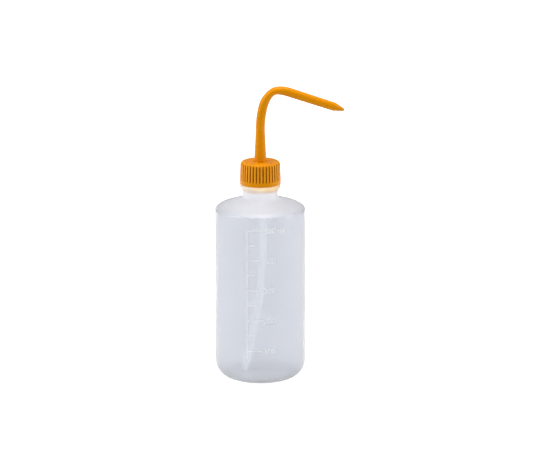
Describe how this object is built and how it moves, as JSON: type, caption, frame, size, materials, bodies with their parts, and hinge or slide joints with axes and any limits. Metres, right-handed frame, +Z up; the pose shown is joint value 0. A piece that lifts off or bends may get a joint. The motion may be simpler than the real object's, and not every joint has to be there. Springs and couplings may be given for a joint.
{
  "type": "wash bottle",
  "caption": "Squeeze wash bottle: translucent cylindrical bottle with raised graduation, ribbed screw cap, bent swivelling spout with a fine tip and a curved dip tube.",
  "frame": {"origin": "on the bottle's axis, in the plane of the ring it stands on", "axes": "+Z up along the bottle's axis, +X the way the spout's arm points at rest, -Y the side with the graduation"},
  "size_m": [0.1055, 0.0741, 0.2441],
  "materials": {
    "natural_ldpe": "milky translucent blown polyethylene, satin outside",
    "orange_cap": "orange moulded polypropylene, semi-gloss",
    "orange_spout": "orange moulded polyethylene, semi-gloss",
    "natural_tube": "milky translucent extruded polyethylene",
    "soft_seal": "white foamed polyethylene, matt"
  },
  "bodies": {
    "bottle": {"bottle": "natural_ldpe"},
    "seal": {"seal_washer": "soft_seal"},
    "cap": {"cap": "orange_cap"},
    "spout": {"spout": "orange_spout", "dip_tube": "natural_tube"}
  },
  "joints": [
    {"name": "closure_rise", "type": "slide", "parent": "bottle", "child": "seal", "axis": [0, 0, 1], "range_m": [0, 0.008]},
    {"name": "cap_turn", "type": "hinge", "parent": "seal", "child": "cap", "pos_m": [0, 0, 0.172], "axis": [0, 0, 1], "range_deg": [0, 720]},
    {"name": "spout_swivel", "type": "hinge", "parent": "seal", "child": "spout", "pos_m": [0, 0, 0.179], "axis": [0, 0, 1], "continuous": true}
  ],
  "couplings": [
    {"joint": "closure_rise", "follows": "cap_turn", "m_per_rad": 0.00063661}
  ]
}
